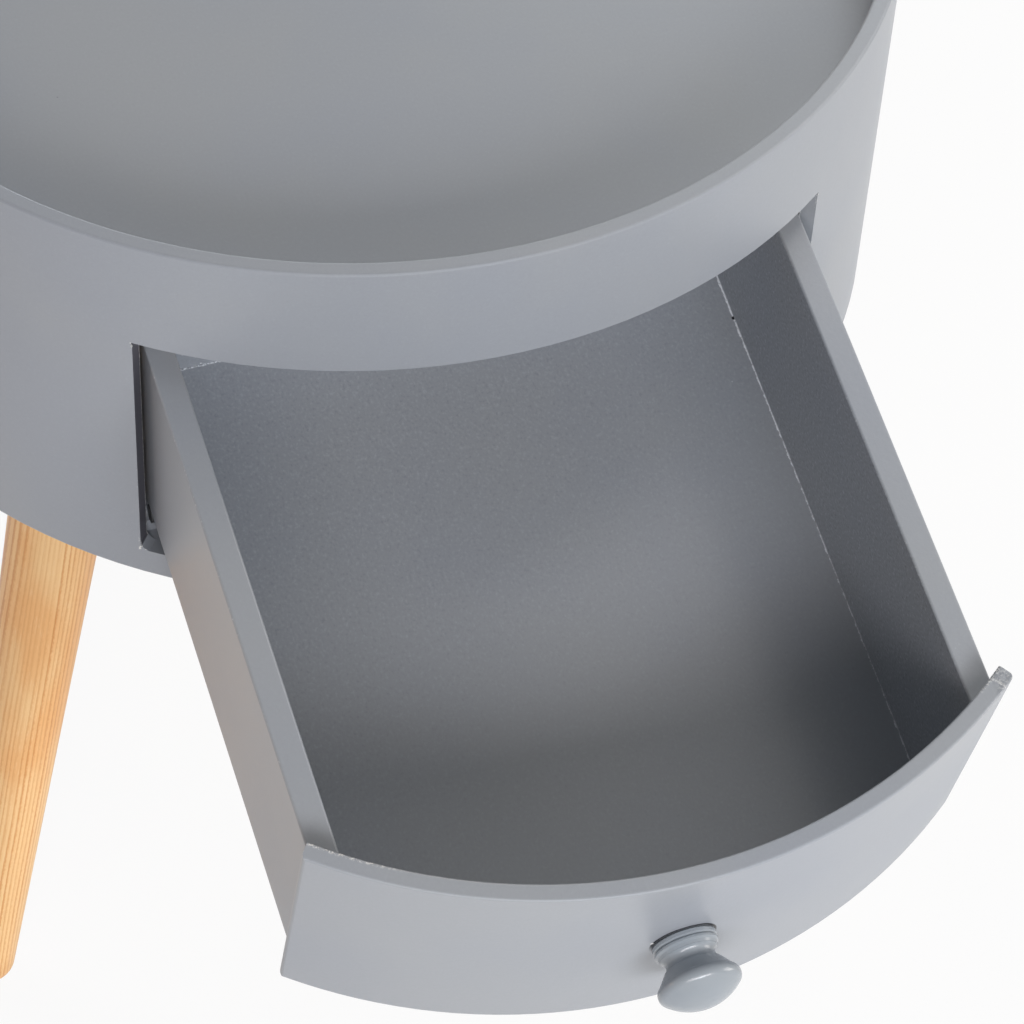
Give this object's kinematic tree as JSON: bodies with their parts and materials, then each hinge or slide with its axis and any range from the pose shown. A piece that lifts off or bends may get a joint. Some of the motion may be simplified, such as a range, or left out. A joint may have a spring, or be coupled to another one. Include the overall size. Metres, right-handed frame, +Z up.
{
  "type": "side table with drawer",
  "caption": "Round three-legged side table with a tray top and a curved drawer that pulls out of a slot in the drum and droops on its glide pins",
  "frame": {"origin": "On the floor, under the middle of the table's bounding box, with the drawer open as at rest. The drum's axis stands 85.0 mm behind it, at +Y.", "axes": "+Z is up and is the tray's normal. -Y is the way the drawer opens, and +Y runs along the longest side of the open table. +X is to the right of someone facing the drawer front."},
  "size_m": [0.4, 0.6139, 0.45],
  "materials": {
    "painted_board": "satin grey paint on board",
    "knob_paint": "semi-gloss grey paint on turned wood",
    "pine": "clear-lacquered pine, grain along the leg",
    "bare_board": "unpainted sawn softwood",
    "steel": "zinc-plated steel",
    "nylon": "dark nylon"
  },
  "bodies": {
    "table": {"drum_wall": "painted_board", "tray_panel": "painted_board", "base_panel": "painted_board", "cleat_front_left": "bare_board", "cleat_front_right": "bare_board", "cleat_back_left": "bare_board", "cleat_back_right": "bare_board", "runner_left": "painted_board", "runner_right": "painted_board", "guide_left": "bare_board", "guide_right": "bare_board", "tilt_rail": "bare_board", "back_stop": "bare_board", "leg_left": "pine", "leg_right": "pine", "leg_back": "pine", "leg_plate_left": "steel", "leg_plate_right": "steel", "leg_plate_back": "steel", "hanger_bolts": "steel", "plate_screws": "steel", "guide_screws": "steel", "runner_screws": "steel", "rail_screws": "steel", "stop_screws": "steel"},
    "drawer_glides": {"glide_pin_left": "nylon", "glide_pin_right": "nylon"},
    "drawer": {"drawer_front": "painted_board", "drawer_side_left": "painted_board", "drawer_side_right": "painted_board", "drawer_back": "painted_board", "drawer_bottom": "painted_board", "front_dowels": "bare_board", "back_dowels": "bare_board", "knob": "knob_paint", "knob_screw": "steel", "knob_washer": "steel"}
  },
  "joints": [
    {"name": "drawer_tilt", "type": "hinge", "parent": "table", "child": "drawer_glides", "pos_m": [0, -0.06601, 0.3107], "axis": [1, 0, 0], "range_deg": [-14.2, 0]},
    {"name": "drawer_slide", "type": "slide", "parent": "drawer_glides", "child": "drawer", "axis": [0, -0.9694, -0.2453], "range_m": [-0.165, 0]}
  ],
  "couplings": [
    {"joint": "drawer_tilt", "follows": "drawer_slide", "rad_per_m": 1.502}
  ]
}
